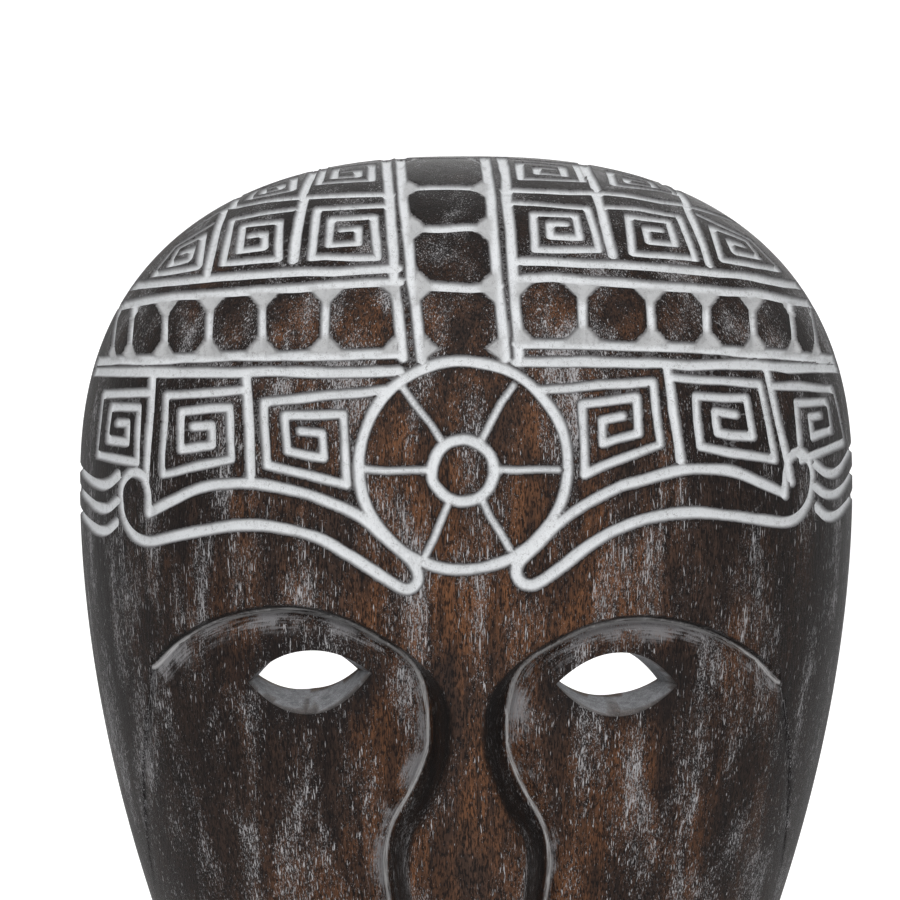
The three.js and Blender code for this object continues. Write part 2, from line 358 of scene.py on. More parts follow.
def loft(name, rings):
    count = len(rings[0])
    polygons = [range(count), range(len(rings) * count - 1, (len(rings) - 1) * count - 1, -1)]
    for k in range(len(rings) - 1):
        for i in range(count):
            j = (i + 1) % count
            polygons.append([k * count + j, k * count + i, (k + 1) * count + i, (k + 1) * count + j])
    made = new_mesh_object(name, np.vstack([np.asarray(ring, float) for ring in rings]), polygons)
    outward(made)
    return made


def outward(made):
    """Merges doubles and turns every face outwards."""
    shell = bmesh.new()
    shell.from_mesh(made.data)
    bmesh.ops.remove_doubles(shell, verts=shell.verts, dist=1e-6)
    bmesh.ops.recalc_face_normals(shell, faces=shell.faces)
    shell.to_mesh(made.data)
    shell.free()


def box_cutter(name, x_range, depth_range, h_range):
    (x_low, x_high), (h_low, h_high) = x_range, h_range
    corners = [(x_low, h_low), (x_high, h_low), (x_high, h_high), (x_low, h_high)]
    return loft(name, [[(x, -depth, h) for x, h in corners] for depth in depth_range])


def round_cutter(name, x, h, radius, depth_range, sides=24):
    angles = np.arange(sides) * 2 * np.pi / sides
    return loft(name, [[(x + radius * np.cos(a), -depth, h + radius * np.sin(a)) for a in angles]
                       for depth in depth_range])


def cut(target, cutter):
    modifier = target.modifiers.new("cut", "BOOLEAN")
    modifier.operation = "DIFFERENCE"
    modifier.solver = "MANIFOLD"
    modifier.object = cutter
    applied(target)
    bpy.data.objects.remove(cutter)


def applied(target):
    """Bakes the object's modifiers into its mesh."""
    bpy.context.view_layer.update()
    graph = bpy.context.evaluated_depsgraph_get()
    evaluated = target.evaluated_get(graph)
    mesh = bpy.data.meshes.new_from_object(evaluated, preserve_all_data_layers=True, depsgraph=graph)
    target.modifiers.clear()
    old = target.data
    target.data = mesh
    bpy.data.meshes.remove(old)


# %% [markdown]
# The places of the openings. The two eyes are not twins: the right one sits lower and its tunnel leans more.

# %% Eyes, mouth, mortises and pilot holes
EYES = {  # middle across and up, half width, rise, drop, tilt, and the tunnel's lean towards its back
    -1: (-48.5, -52.6, 18.9, 8.3, 11.5, 0.10, -0.8),
    1: (46.3, -54.6, 19.6, 9.8, 9.8, -0.03, -3.4),
}
EYE_FRONT, EYE_BACK, EYE_THROUGH = 96, 79, 62  # depths where an eye is full size, drawn in, and open
MORTISE_IN, MORTISE_OUT, MORTISE_TOP, MORTISE_BOTTOM, MORTISE_DEPTH = 104.5, 120.5, 19.0, -27.0, 5.2
MOUTH = {"x": 0, "h": -208.5, "half_width": 21, "rise": 2.4, "drop": 3,
         "front_depth": 86, "back_depth": 78, "through_to": 78}
HANGER_X, HANGER_H, SCREW_DROPS, PILOT_RADIUS = 112.5, 5.0, (16.0, 24.5), 1.7
for side, eye in EYES.items():
    cut(block, almond_cutter("eye_cutter", *eye[:5], EYE_FRONT, EYE_BACK, EYE_THROUGH, *eye[5:]))
    cut(block, box_cutter("mortise_cutter", sorted((side * MORTISE_IN, side * MORTISE_OUT)),
                          (-3, MORTISE_DEPTH), (MORTISE_BOTTOM, MORTISE_TOP)))
    for drop in SCREW_DROPS:
        cut(block, round_cutter("pilot_cutter", side * HANGER_X, HANGER_H - drop, PILOT_RADIUS, (3, 18)))
cut(block, almond_cutter("mouth_cutter", **MOUTH))
print("after cutting:", len(block.data.vertices), "points")

# %% [markdown]
# ## What each point of the wood is
# The finish needs to know where it is: on the carved face, in the hollow, on the wall of an eye, in the
# stop cut or on its worn lip. The shape's own rules say so for every point, kept as attributes.


# %% Attributes of place
def layout_of(mesh):
    flat = np.empty(len(mesh.vertices) * 3, np.float32)
    mesh.vertices.foreach_get("co", flat)
    place = (flat.reshape(-1, 3).astype(float) - [0, 0, WIDEST_Z]) / mm
    return place[:, 0], -place[:, 1], place[:, 2]


def keep(name, values):
    attribute = block.data.attributes.new(name, "FLOAT", "POINT")
    attribute.data.foreach_set("value", np.asarray(values, np.float32))


def eye_gauge(x, h):
    """0 in the middle of the nearer eye, 1 round its outline."""
    shares = [np.hypot((x - eye_x) / half_width, (h - eye_h - tilt * (x - eye_x)) / max(rise, drop))
              for eye_x, eye_h, half_width, rise, drop, tilt, _ in EYES.values()]
    return np.minimum(*shares)


x, depth, h = layout_of(block.data)
around_eye = eye_gauge(x, h)
in_eye = around_eye < 1.08
share = gauge(x, h, OUTER)
share_behind = gauge(x, h, HOLLOW)
hollow_depth = dome(share_behind, *LINING)
lining = (share_behind < 1.001) & (depth < hollow_depth + 0.6)
surface = face_depth(x, h, share)
eye_wall = in_eye & ~lining & (depth < surface - 0.25)
behind = lining | (depth < 0.35) | ((depth < MORTISE_DEPTH + 13) & (share < 0.97))
on_face = ~(behind | eye_wall)
away, wall, along = socket_place(x, h)
crease, down = nearest_on(cheek_line, np.abs(x), h)
ripples = smooth(1.0, 1.6, around_eye) * (1 - smooth(0.9, 0.985, share_behind))  # none near an edge
keep("face", on_face)
keep("hollow", lining * ripples)
keep("eye_wall", eye_wall)
keep("off_lip", away - wall)
in_cut = smooth(-CUT_EDGE, 0.1, away / wall) * (1 - smooth(0.8, 1.1, away / wall))
# stop_cut also says where the finish paints the cut's wall nearly black as shade
keep("stop_cut", on_face * in_cut)
# crease and eye_edge are used only to paint shade in the crease of the cheeks and round the eyes
keep("crease", on_face * np.exp(-((crease / 1.3) ** 2)) * (1 - smooth(35, 110, down)))
keep("along_lip", along)
keep("eye_edge", on_face * (1 - smooth(0.95, 1.5, around_eye)))
print("eye wall points:", int(eye_wall.sum()), "lining:", int(lining.sum()))

# %% [markdown]
# ## The line work
# Every line is one pass of a gouge. The wheel in the middle of the forehead, two bands of eight-sided pads,
# key spirals in the panels between them, and two long brow shapes are laid out flat, as a carver pencils
# them on, and then dropped onto the dome. A little wander keeps them hand-made.

# %% Pencilled layout
band_lines, key_lines, spokes, chips = [], [], [], []
wander = np.random.default_rng(11)


def wandering(points, step=1.6, amount=0.22):
    """A line cut into short steps, each nudged by a slow random drift."""
    points = np.asarray(points, float)
    pieces = [points[:1]]
    for a, b in zip(points, points[1:]):
        count = max(1, int(round(np.hypot(*(b - a)) / step)))
        pieces.append(a + (b - a) * np.linspace(0, 1, count + 1)[1:, None])
    line = np.vstack(pieces)
    knots = max(4, len(line) // 5)
    drift = wander.normal(0, amount, (knots, 2))
    at = np.linspace(0, knots - 1, len(line))
    drift = np.stack([np.interp(at, range(knots), drift[:, k]) for k in (0, 1)], -1)
    return line + drift


def on_dome(flat):
    """Each flat point at the depth of the bare forehead under it."""
    flat = np.asarray(flat, float)
    share = np.minimum(gauge(flat[:, 0], flat[:, 1], OUTER), 1)
    depth = SIDE_LAND + dome(share, *FOREHEAD) + nose(flat[:, 0], flat[:, 1])
    return np.stack([flat[:, 0], -depth, flat[:, 1]], -1)


def wide(points):
    band_lines.append(wandering(points))


def fine(points):
    key_lines.append(wandering(points, amount=0.18))


def circle(middle, radius, count=96):
    turn = np.linspace(0, 2 * np.pi, count + 1)
    return np.stack([middle[0] + radius * np.cos(turn), middle[1] + radius * np.sin(turn)], -1)


# %% [markdown]
# The wheel. Six spokes run from a hub that sits a little below the middle.

# %% The wheel
WHEEL, HUB, WHEEL_RADIUS, HUB_RADIUS = np.array([-1.3, 12.0]), np.array([-1.4, 10.4]), 31.0, 9.2
wide(circle(WHEEL, WHEEL_RADIUS))
wide(circle(HUB, HUB_RADIUS))
for degrees, reach in ((0, 28.8), (60, 29.5), (126, 30.5), (180, 29), (246, 28.5), (301, 27.5)):
    ray = np.array([math.cos(math.radians(degrees)), math.sin(math.radians(degrees))])
    spokes.append(wandering([HUB + ray * (HUB_RADIUS + 0.8), HUB + ray * reach]))

# %% [markdown]
# The bands. Four leaning lines run from the wheel up over the crown, and on each side four lines run round
# the head, drooping a little towards the temples. Pads fill the middle of each band.


# %% Bands and pads
CROWN_LINES = ((-19.3, 0.1), (-13.6, 0.125), (11.2, 0.083), (15.6, 0.065))
CROWN_EDGE = 107.7


def crown_x(line, h):
    """Where a crown line stands at one level: its place at the wheel less its lean."""
    return CROWN_LINES[line][0] - CROWN_LINES[line][1] * (h - 44)


for line in range(4):
    wide([(crown_x(line, h), h) for h in np.linspace(43.5, CROWN_EDGE, 16)])


def round_line(level, droop):
    return lambda x: level - droop * np.asarray(x) ** 2


ROUND_LINES = {
    -1: {"top": round_line(70.5, 0.0004), "upper": round_line(66.6, 0.00055),
         "lower": round_line(44.9, 0.00022), "under": round_line(39.6, 0.00006)},
    1: {"top": round_line(73.0, 0.0006), "upper": round_line(67.6, 0.0006),
        "lower": round_line(48.0, 0.0004), "under": round_line(42.7, 0.00022)},
}
BAND_EDGE = {-1: 20.5, 1: 14.5}
LAST_STATION, NEAR_THE_EDGE = 124.5, 0.9995


def to_temple(line, start, side):
    """Follows a line round the head until it runs over the edge of the outline."""
    stations = np.linspace(start, LAST_STATION, 60) * side
    points = np.stack([stations, line(stations)], -1)
    return points[gauge(points[:, 0], points[:, 1], OUTER) < NEAR_THE_EDGE]


for side, lines in ROUND_LINES.items():
    for name in ("top", "upper", "lower", "under"):
        wide(to_temple(lines[name], BAND_EDGE[side], side))


def chip(x, h, half, reach):
    """A three-sided chip of wood: its base on a line, its point along the gap between two pads."""
    chips.append([(x - half, h), (x + half, h), (x, h + reach)])


CHIP_HALF = 6.6
PAD_GAPS = {-1: (42.5, 62, 78.6, 93.2, 105, 111.4), 1: (34.6, 55.5, 73, 88, 101.5, 109.8)}


def foreshortening(x, h):
    """How wide one millimetre of the dome looks from the front."""
    near, far = on_dome([(x - 0.5, h), (x + 0.5, h)])[:, 1]
    return 1 / math.hypot(1, far - near)


for side, gaps in PAD_GAPS.items():
    upper, lower = ROUND_LINES[side]["upper"], ROUND_LINES[side]["lower"]
    for x_gap in gaps:
        x = side * x_gap
        half = CHIP_HALF * foreshortening(x, (lower(x) + upper(x)) / 2)
        fine([(x, lower(x)), (x, upper(x))])
        chip(x, lower(x) + 0.3, half, CHIP_HALF)
        chip(x, upper(x) - 0.3, half, -CHIP_HALF)
    for line, reach in ((lower, CHIP_HALF), (upper, -CHIP_HALF)):
        x, far = side * BAND_EDGE[side], side * (BAND_EDGE[side] + CHIP_HALF)
        chips.append([(x, line(x)), (far, line(far)), (x, line(x) + reach)])

CROWN_GAPS = ((46.5, 4.5, 5.5), (65.0, 6.2, 6.6), (83.0, 5.2, 6.6), (95.9, 3.6, 6.0), (106.6, 3.0, 6.0))
for k, (h_gap, half, reach) in enumerate(CROWN_GAPS):
    left, right = crown_x(1, h_gap), crown_x(2, h_gap)
    if k:
        wide([(left, h_gap), (right, h_gap)])
    for x, inwards in ((left + 0.2, reach), (right - 0.2, -reach)):
        chips.append([(x, h_gap - half), (x, min(h_gap + half, CROWN_EDGE)), (x + inwards, h_gap)])

# %% [markdown]
# Key spirals. Each one fills a panel: along the top to the outer side, down, back along the bottom, up, and
# round again inside. `key_spiral` draws that path once in a unit square and stretches it to four corners.

# %% Key spirals
KEY = [
    (1, 1), (1, 0), (0, 0), (0, 0.78), (0.74, 0.78), (0.74, 0.27), (0.27, 0.27), (0.27, 0.56), (0.55, 0.56),
]


def key_spiral(start, inner_top, outer_top, outer_bottom, inner_bottom):
    corners = np.array([inner_bottom, outer_bottom, inner_top, outer_top], float)
    path = [np.asarray(start, float)]
    for u, v in KEY:
        below = corners[0] * (1 - u) + corners[1] * u
        above = corners[2] * (1 - u) + corners[3] * u
        path.append(below * (1 - v) + above * v)
    fine(path)


LOWER_KEYS = [
    ((-24, 34), (-37, 32.5), (-61, 30.5), (-60, 11.5), (-36, 6)),
    ((-67.5, 34), (-72, 33), (-92, 32), (-93, 8), (-71, 13)),
    ((-97.5, 33), (-101, 33), (-114, 32), (-116, 12.5), (-101.5, 11.5)),
    ((22, 34.5), (34, 35.5), (55.5, 36.5), (57.5, 18), (34.5, 9)),
    ((61.5, 37.5), (68, 37), (89.5, 35.5), (94, 12.5), (70, 16.5)),
    ((94, 35), (101, 34.5), (115.5, 33.5), (119.5, 16.5), (103, 12)),
]
UPPER_KEYS = [
    ((-24.5, 90.3), (-28.5, 90.3), (-46.3, 89.3), (-47.5, 73.8), (-27.5, 74)),
    ((-54, 89.5), (-58, 89), (-73.5, 86.8), (-75.5, 72.5), (-57.5, 73.5)),
    ((-80, 85), (-82.5, 84.5), (-92, 78.5), (-99, 69.5), (-83, 71.5)),
    ((-28, 106.6), (-30, 106.5), (-45.5, 104.4), (-46.5, 97.8), (-29.5, 98.6)),
    ((-53, 102.4), (-55, 101.8), (-67, 96.6), (-69, 93.8), (-55, 96)),
    ((12.5, 91.3), (20.5, 90.8), (37.3, 89.8), (39.8, 76.3), (20.5, 76.8)),
    ((43.5, 90.5), (49.5, 90.3), (66, 87.5), (70.3, 74), (50.5, 75.5)),
    ((72.5, 88), (76.5, 87), (90, 80.5), (99, 71.5), (79, 73.5)),
    ((10, 106.6), (17, 106.6), (35, 104.8), (36.5, 98.5), (17, 99)),
    ((41.5, 104.3), (45, 103.6), (62.5, 99.4), (66.5, 95), (46, 97.5)),
]
for corners in LOWER_KEYS + UPPER_KEYS:
    key_spiral(*corners)
for divider in (
    [(-67, 39), (-65.5, 22), (-65, 7.5)], [(-96.2, 38), (-97.2, 22), (-98.2, 6)],
    [(60, 42), (61.5, 28), (64, 13)], [(92, 40), (95, 24), (99.5, 5)],
    [(-51, 92.5), (-53, 73)], [(-77, 90), (-80.5, 69.5)],
    [(40.5, 94), (44.5, 75)], [(69.5, 91), (74.5, 72.5)],
    [(-48.5, 105), (-51, 94)], [(37.6, 106), (40.5, 96)],
    [(-71, 99), (-75, 91)], [(66, 101.6), (69.5, 92)],
):
    wide(divider)
wide([(-88, 84), (-76, 91), (-52, 93.3), (-24, 94.2)])
wide([(12, 95.3), (44, 94.2), (68, 91.6), (88, 86)])

# %% [markdown]
# The brows. One long leaf-like outline over each eye, with a hook at the temple, drawn once and mirrored;
# the right one rises a little more. Short sagging lines tie each hook to the edge of the mask.

# %% Brows and side lines
BROW = [
    (97.5, -4), (90, 0), (80, 4.5), (68, 6.2), (57, 5), (45, 2), (32, -3.5), (20, -13.5), (15.5, -18.5),
    (14.8, -22.5), (17.5, -25.2), (22, -24), (34, -15.5), (47, -9.2), (57, -7), (68, -6.8), (81, -8.8),
    (90, -11), (97, -12.8), (102.5, -11.5), (106, -7), (107.2, -1), (106.5, 4.5), (103.5, 8), (99.5, 7),
    (98, 2), (97.5, -4),
]
for side, lift in ((-1, 0.0), (1, 6.0)):
    outline = spline([(x, h + lift * x / 100) for x, h in BROW], 5)
    wide(outline * [side, 1])
SIDE_LINES = {-1: ((6, 5), (-1, -2.5), (-8, -9.5)), 1: ((12, 8.5), (5, 2), (-3, -5))}
for side, levels in SIDE_LINES.items():
    for outer_h, inner_h in levels:
        sag = [(125, outer_h + 2.5), (121.5, outer_h), (117, inner_h - 1), (112.5, inner_h - 1),
               (108.5, inner_h + 2)]
        wide(spline(sag, 4) * [side, 1])
print(len(band_lines), "band lines,", len(key_lines), "key lines")
print(len(spokes), "spokes,", len(chips), "chips")


# %% [markdown]
# Dropping the layout onto the dome: each flat point goes to the depth of the bare forehead under it. The
# lines become loose edges and the chips triangles, only for the gouge to measure from.


# %% Lines on the dome
def lines_object(name, lines):
    points, edges, first = [], [], 0
    for line in lines:
        points.append(on_dome(line))
        edges += [(first + i, first + i + 1) for i in range(len(line) - 1)]
        first += len(line)
    return new_mesh_object(name, np.vstack(points), [], edges)


line_objects = {
    "Band lines": lines_object("band_lines", band_lines),
    "Key lines": lines_object("key_lines", key_lines),
    "Spokes": lines_object("spokes", spokes),
}
chip_points = on_dome(np.vstack(chips))
chip_object = new_mesh_object("chips", chip_points, np.arange(len(chip_points)).reshape(-1, 3))

# %% [markdown]
# ## The gouge
# A Geometry Nodes tree does the carving. For every point of the face it finds the nearest line. Points
# close to the edge of a cut are first slid onto that edge, so it stays crisp. Points inside are pushed into
# the wood, and the distance is kept as the attribute `carve`, in millimetres, negative inside a cut.


# %% Gouge tree
class Tree:
    """A node tree with its links made in one call: type, settings, then values or links by socket."""

    def __init__(self, tree):
        self.tree = tree

    def add(self, kind, settings=None, **sockets):
        node = self.tree.nodes.new(kind)
        for key, value in (settings or {}).items():
            setattr(node, key, value)
        for key, value in sockets.items():
            self.put(node.inputs[key], value)
        return node

    def put(self, socket, value):
        if isinstance(value, Value):
            value = value.socket
        if isinstance(value, bpy.types.NodeSocket):
            self.tree.links.new(value, socket)
        else:
            socket.default_value = value


class Value:
    """A number socket that can be used in ordinary sums."""

    MATH = "ShaderNodeMath"

    def __init__(self, tree, socket):
        self.tree, self.socket = tree, socket

    def math(self, operation, *others, first=None):
        node = self.tree.add(self.MATH, {"operation": operation})
        values = [self, *others] if first is None else [first, self, *others]
        for i, value in enumerate(values):
            self.tree.put(node.inputs[i], value)
        return Value(self.tree, node.outputs[0])

    def __add__(self, other):
        return self.math("ADD", other)

    __radd__ = __add__

    def __mul__(self, other):
        return self.math("MULTIPLY", other)

    __rmul__ = __mul__

    def __sub__(self, other):
        return self.math("SUBTRACT", other)

    def __rsub__(self, other):
        return self.math("SUBTRACT", first=other)

    def __pow__(self, other):
        return self.math("POWER", other)

    def least(self, other):
        return self.math("MINIMUM", other)

    def most(self, other):
        return self.math("MAXIMUM", other)

    def ramp(self, low, high, smoothly=True):
        """0 at low, 1 at high, and held there beyond them."""
        kind = "SMOOTHSTEP" if smoothly else "LINEAR"
        node = self.tree.add("ShaderNodeMapRange", {"interpolation_type": kind})
        for key, value in (("Value", self), ("From Min", low), ("From Max", high)):
            self.tree.put(node.inputs[key], value)
        return Value(self.tree, node.outputs[0])


# %% [markdown]
# The tree's own values. A cut gets to its full depth a little way in from its edge, as a round gouge leaves
# it, and a chip slopes evenly down from its edges. The lining gets a ripple, the marks of a broad adze.

# %% Carving
CHIP_SAG = 0.35  # a flat chip lies this far under the dome at its middle
CUT_RUN, CHIP_RUN = 1.6, 2.4  # full depth is reached this far in from the edge of a cut or a chip
NEVER_CUT = 60  # added to the distance where the gouge must not go
FACETS_PER_MM, FACET_BLEND, FACET_STRETCH = 0.062, 0.12, 0.5


def gouge_tree(material, line_kinds):
    group = bpy.data.node_groups.new("gouge", "GeometryNodeTree")
    group.interface.new_socket("Geometry", in_out="INPUT", socket_type="NodeSocketGeometry")
    for name in (*line_kinds, "Chips"):
        group.interface.new_socket(name, in_out="INPUT", socket_type="NodeSocketObject")
    half_widths = [f"{kind} half width" for kind in line_kinds]
    for name in (*half_widths, "Cut depth", "Chip depth", "Snap", "Lining ripple"):
        group.interface.new_socket(name, in_out="INPUT", socket_type="NodeSocketFloat")
    group.interface.new_socket("Geometry", in_out="OUTPUT", socket_type="NodeSocketGeometry")
    tree = Tree(group)
    inputs = group.nodes.new("NodeGroupInput").outputs
    position = tree.add("GeometryNodeInputPosition").outputs[0]

    def number(name):
        return Value(tree, inputs[name])

    def attribute(name):
        node = tree.add("GeometryNodeInputNamedAttribute", {"data_type": "FLOAT"}, Name=name)
        return Value(tree, node.outputs["Attribute"])

    def vector(operation, first, second=None, scale=None):
        node = tree.add("ShaderNodeVectorMath", {"operation": operation})
        tree.put(node.inputs[0], first)
        if second is not None:
            tree.put(node.inputs[1], second)
        if scale is not None:
            tree.put(node.inputs["Scale"], scale)
        return node.outputs[0]

    def nearest(name, target):
        info = tree.add("GeometryNodeObjectInfo", Object=inputs[name])
        near = tree.add("GeometryNodeProximity", {"target_element": target})
        tree.put(near.inputs[0], info.outputs["Geometry"])
        return Value(tree, near.outputs["Distance"]) * (1 / mm), near.outputs["Position"]

    uneven = tree.add("ShaderNodeTexNoise", Vector=position, Scale=0.07 / mm, Detail=2.0)
    width = Value(tree, uneven.outputs[0]) * 0.5 + 0.75
    carve, place = None, None
    for kind in line_kinds:
        distance, spot = nearest(kind, "EDGES")
        edge = distance - number(f"{kind} half width") * width
        if carve is None:
            carve, place = edge, spot
            continue
        closer = edge.math("LESS_THAN", carve)
        switch = tree.add("GeometryNodeSwitch", {"input_type": "VECTOR"})
        for key, value in zip(("Switch", "False", "True"), (closer, place, spot)):
            tree.put(switch.inputs[key], value)
        carve, place = edge.least(carve), switch.outputs[0]
    to_chip, _ = nearest("Chips", "FACES")
    in_chip = to_chip.math("LESS_THAN", CHIP_SAG)
    chip = (to_chip - CHIP_SAG).most(0) - in_chip * nearest("Chips", "EDGES")[0]
    face = attribute("face")
    near_edge = carve.math("ABSOLUTE").math("LESS_THAN", number("Snap")) * face * (1 - in_chip)
    away_from_line = vector("NORMALIZE", vector("SUBTRACT", position, place))
    slide = vector("SCALE", away_from_line, scale=carve * near_edge * (-mm))
    carve = carve * (1 - near_edge)
    round_cut = 1 - (1 - (carve * (-1 / CUT_RUN)).most(0).least(1)) ** 2.0
    flat_cut = (chip * (-1 / CHIP_RUN)).most(0).least(1)
    carve = carve.least(chip) + (1 - face) * NEVER_CUT
    ripple = tree.add("ShaderNodeTexVoronoi", {"feature": "SMOOTH_F1"}, Scale=FACETS_PER_MM / mm,
                      Smoothness=FACET_BLEND)
    tree.put(ripple.inputs["Vector"], vector("MULTIPLY", position, (1, 1, FACET_STRETCH)))
    scallop = Value(tree, ripple.outputs["Distance"]) * number("Lining ripple") * attribute("hollow")
    depth = (round_cut * number("Cut depth")).most(flat_cut * number("Chip depth")) * face
    sink = vector("SCALE", tree.add("GeometryNodeInputNormal").outputs[0], scale=(depth - scallop) * (-mm))
    kept = inputs["Geometry"]
    for name, value in (("carve", carve), ("chip", (0.3 - chip).ramp(0, 1.2) * face)):
        store = tree.add("GeometryNodeStoreNamedAttribute", {"data_type": "FLOAT", "domain": "POINT"},
                         Geometry=kept, Name=name)
        tree.put(store.inputs["Value"], value)
        kept = store.outputs[0]
    moved = tree.add("GeometryNodeSetPosition", Geometry=kept, Offset=vector("ADD", slide, sink))
    realized = tree.add("GeometryNodeRealizeInstances", Geometry=moved.outputs[0])
    finished = tree.add("GeometryNodeSetMaterial", Geometry=realized.outputs[0], Material=material)
    output = group.nodes.new("NodeGroupOutput")
    tree.put(output.inputs[0], finished.outputs[0])
    return group


def set_inputs(modifier, values):
    for item in modifier.node_group.interface.items_tree:
        if item.in_out == "INPUT" and item.name in values:
            modifier[item.identifier] = values[item.name]


def triangle_count(mesh):
    return sum(len(polygon.vertices) - 2 for polygon in mesh.polygons)


stained_wood = bpy.data.materials.new("stained_wood")
gouge = block.modifiers.new("gouge", "NODES")
gouge.node_group = gouge_tree(stained_wood, list(line_objects))
set_inputs(gouge, {
    **line_objects, "Chips": chip_object,
    "Band lines half width": 1.95, "Key lines half width": 1.65, "Spokes half width": 1.35,
    "Cut depth": 1.5, "Chip depth": 2.0, "Snap": 0.45, "Lining ripple": 3.2,
})
applied(block)
for helper in (*line_objects.values(), chip_object):
    bpy.data.objects.remove(helper)
triangles = triangle_count(block.data)
print("carved face:", len(block.data.vertices), "points,", triangles, "triangles")

# %% [markdown]
# Between the lines the wood is smooth, so most of those points say nothing. Decimate takes them out and
# leaves the fine ones in the cuts.

# %% Thinning
MOST_TRIANGLES = 192000
if triangles > MOST_TRIANGLES:
    thin_out = block.modifiers.new("thin_out", "DECIMATE")
    thin_out.ratio = MOST_TRIANGLES / triangles
    applied(block)
print("thinned:", triangle_count(block.data), "triangles")

# %% [markdown]
# ## Stained wood
# Three layers, as it was made. The stain: dark brown, streaked along the upright grain, warmer where it
# wore thin. The wash: white, filling every gouge line and the open pores. The handling: pale edges along the
# stop cut, partly worn and partly painted highlight, and dark lines beside the cuts, partly grime and partly
# painted shade. More painted shade darkens the sides, the crown, the stop cut, the eyes' edges and the
# crease of the cheeks. The patterns read Object coordinates in millimetres, and the attributes of place say
# where each layer goes.


# %% Shader helper
class Shader(Tree):
    def __init__(self, material):
        material.use_nodes = True
        super().__init__(material.node_tree)
        self.tree.nodes.clear()
        self.bsdf = self.tree.nodes.new("ShaderNodeBsdfPrincipled")
        output = self.tree.nodes.new("ShaderNodeOutputMaterial")
        self.tree.links.new(self.bsdf.outputs[0], output.inputs[0])
        place = self.add("ShaderNodeTexCoord").outputs["Object"]
        self.place = self.stretched(place, (1 / mm, 1 / mm, 1 / mm))

    def stretched(self, vector, factors):
        node = self.add("ShaderNodeVectorMath", {"operation": "MULTIPLY"})
        self.put(node.inputs[0], vector)
        node.inputs[1].default_value = factors
        return node.outputs[0]

    def noise(self, factors, detail=3.0, roughness=0.55, distortion=0.0):
        node = self.add("ShaderNodeTexNoise", Vector=self.stretched(self.place, factors), Scale=1.0,
                        Detail=detail, Roughness=roughness, Distortion=distortion)
        return Value(self, node.outputs[0])

    def attribute(self, name):
        return Value(self, self.add("ShaderNodeAttribute", {"attribute_name": name}).outputs["Fac"])

    def mix(self, factor, first, second, blend="MIX"):
        node = self.add("ShaderNodeMix", {"data_type": "RGBA", "blend_type": blend})
        for key, value in ((0, factor), (6, first), (7, second)):
            self.put(node.inputs[key], value)
        return node.outputs[2]

    def finish(self, **sockets):
        for key, value in sockets.items():
            self.put(self.bsdf.inputs[key.replace("_", " ")], value)


def srgb(red, green, blue):
    """A colour from its 0 to 255 values, in linear light."""
    linear = [((v / 255 + 0.055) / 1.055) ** 2.4 if v > 10 else v / 255 / 12.92 for v in (red, green, blue)]
    return (*linear, 1.0)


# %% [markdown]
# The stain. Streaks, fibres and pores run upright at three scales, and clouds and bands change it slowly.
# The colour is also darker on the cheeks, and painted shade darkens it round the sides and over the crown.

# %% Stain
CROWN_SHADE_FROM, CROWN_SHADE_TO = -60, 0  # between these levels painted shade darkens the crown
SIDE_SHADE_FROM, SIDE_SHADE_TO = 55, 118  # and this far out from the middle
wood = Shader(stained_wood)
face, eye_wall, carve = (wood.attribute(name) for name in ("face", "eye_wall", "carve"))
off_lip, along_lip = wood.attribute("off_lip"), wood.attribute("along_lip")
streaks = wood.noise((0.42, 0.42, 0.06), 5, 0.68, 0.3)
fibres = wood.noise((2.6, 2.6, 0.14), 3, 0.6)
pores = wood.noise((2.0, 2.0, 0.5), 3, 0.65)
mottle = wood.noise((0.6, 0.6, 0.32), 4, 0.7)
clouds = wood.noise((0.034, 0.034, 0.018), 3, 0.5)
bands = wood.noise((0.11, 0.11, 0.016), 4, 0.55, 0.3)
where = wood.add("ShaderNodeSeparateXYZ", Vector=wood.place)
sideways = Value(wood, where.outputs["X"]).math("ABSOLUTE")
level = Value(wood, where.outputs["Z"])
# outer: painted shade round the sides and over the crown, where the dome turns away from the lights
outer = sideways.ramp(SIDE_SHADE_FROM, SIDE_SHADE_TO).most(level.ramp(CROWN_SHADE_FROM, CROWN_SHADE_TO))
cheek = off_lip.ramp(2, 16) * face
stain = wood.mix((streaks * 0.6 + mottle * 0.4).ramp(0.34, 0.66), srgb(38, 29, 25), srgb(74, 56, 47))
middle = 1 - sideways.ramp(12, 48)
warm = (clouds * 0.9 + bands * 0.25 + mottle * 0.2 - 0.15 - outer * 0.1 + middle * 0.1).ramp(0.46, 0.68)
stain = wood.mix(warm * streaks.ramp(0.26, 0.6) * 0.9, stain, srgb(112, 74, 48))
stain = wood.mix(bands.ramp(0.54, 0.4) * 0.5, stain, srgb(33, 27, 26))
# painted shade round the sides and over the crown
stain = wood.mix(outer * 0.85, stain, srgb(20, 18, 18))
stain = wood.mix(cheek * 0.3, stain, srgb(28, 22, 20))
stain = wood.mix(fibres.ramp(0.62, 0.36) * 0.4, stain, srgb(20, 16, 15))
stain = wood.mix(pores.ramp(0.53, 0.42) * 0.85, stain, srgb(12, 10, 10))

# %% [markdown]
# Beside every cut runs a thin dark line, partly grime and partly painted shade, inside a wider and fainter
# painted shade as in a recess. Painted shade also darkens the edges of the eyes and the crease of the
# cheeks, and the stop cut's wall is painted nearly black as shade. Over it, the white wash stays in the
# pores: fine specks, thick in some upright patches, long dashes, and a thin grey film.

# %% Grime and painted shade, and wash in the pores
# beside a cut: a thin dark line, partly grime and partly painted shade, and a wider, fainter painted shade
# as in a recess
grime_and_shade = (1 - carve.ramp(0.05, 0.8)).most((1 - carve.ramp(0.2, 3.4)) * 0.45) * face
stop_cut = wood.attribute("stop_cut")
